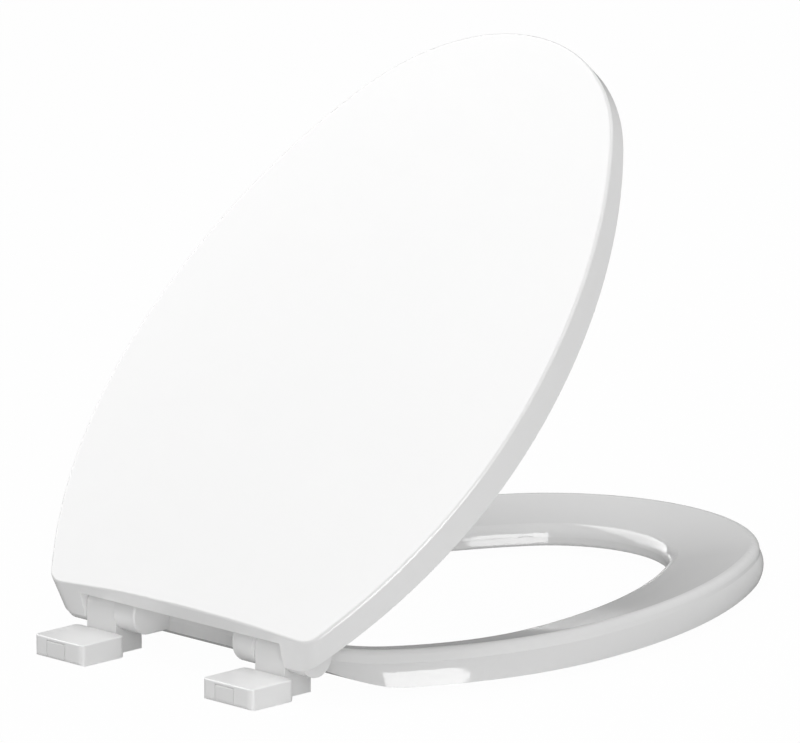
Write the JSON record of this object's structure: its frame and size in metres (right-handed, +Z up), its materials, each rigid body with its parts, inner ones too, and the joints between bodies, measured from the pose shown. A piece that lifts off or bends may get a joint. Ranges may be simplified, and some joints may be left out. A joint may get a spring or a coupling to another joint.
{
  "type": "toilet seat",
  "caption": "Elongated closed-front toilet seat with a hinged lid and ring on two slotted hinge posts with flip-up bolt caps.",
  "frame": {"origin": "midway between the two bolt slots, on the surface the seat is bolted to", "axes": "+X along the hinge axis, +Y towards the front of the seat, +Z up"},
  "size_m": [0.345, 0.497, 0.3572],
  "materials": {
    "seat_plastic": "glossy white moulded plastic",
    "hinge_plastic": "satin white moulded plastic",
    "cap_plastic": "semi-gloss white moulded plastic",
    "pin_steel": "drawn stainless steel",
    "bumper_rubber": "soft white rubber"
  },
  "bodies": {
    "hinge_base": {"hinge_post_left": "hinge_plastic", "hinge_post_right": "hinge_plastic", "hinge_pin_left": "pin_steel", "hinge_pin_right": "pin_steel"},
    "ring": {"seat_ring": "seat_plastic", "ring_bumper_front_left": "bumper_rubber", "ring_bumper_front_right": "bumper_rubber", "ring_bumper_rear_left": "bumper_rubber", "ring_bumper_rear_right": "bumper_rubber"},
    "lid": {"lid": "seat_plastic", "lid_bumper_left": "bumper_rubber", "lid_bumper_right": "bumper_rubber"},
    "cap_left": {"bolt_cap_left": "cap_plastic"},
    "cap_right": {"bolt_cap_right": "cap_plastic"}
  },
  "joints": [
    {"name": "seat_lift", "type": "hinge", "parent": "hinge_base", "child": "ring", "pos_m": [0, 0.0292, 0.0275], "axis": [1, 0, 0], "range_deg": [0, 40]},
    {"name": "lid_lift", "type": "hinge", "parent": "ring", "child": "lid", "pos_m": [0, 0.0292, 0.0275], "axis": [1, 0, 0], "range_deg": [-46, 16]},
    {"name": "cap_left_flip", "type": "hinge", "parent": "hinge_base", "child": "cap_left", "pos_m": [-0.075, -0.0164, 0.0028], "axis": [1, 0, 0], "range_deg": [0, 90]},
    {"name": "cap_right_flip", "type": "hinge", "parent": "hinge_base", "child": "cap_right", "pos_m": [0.075, -0.0164, 0.0028], "axis": [1, 0, 0], "range_deg": [0, 90]}
  ]
}
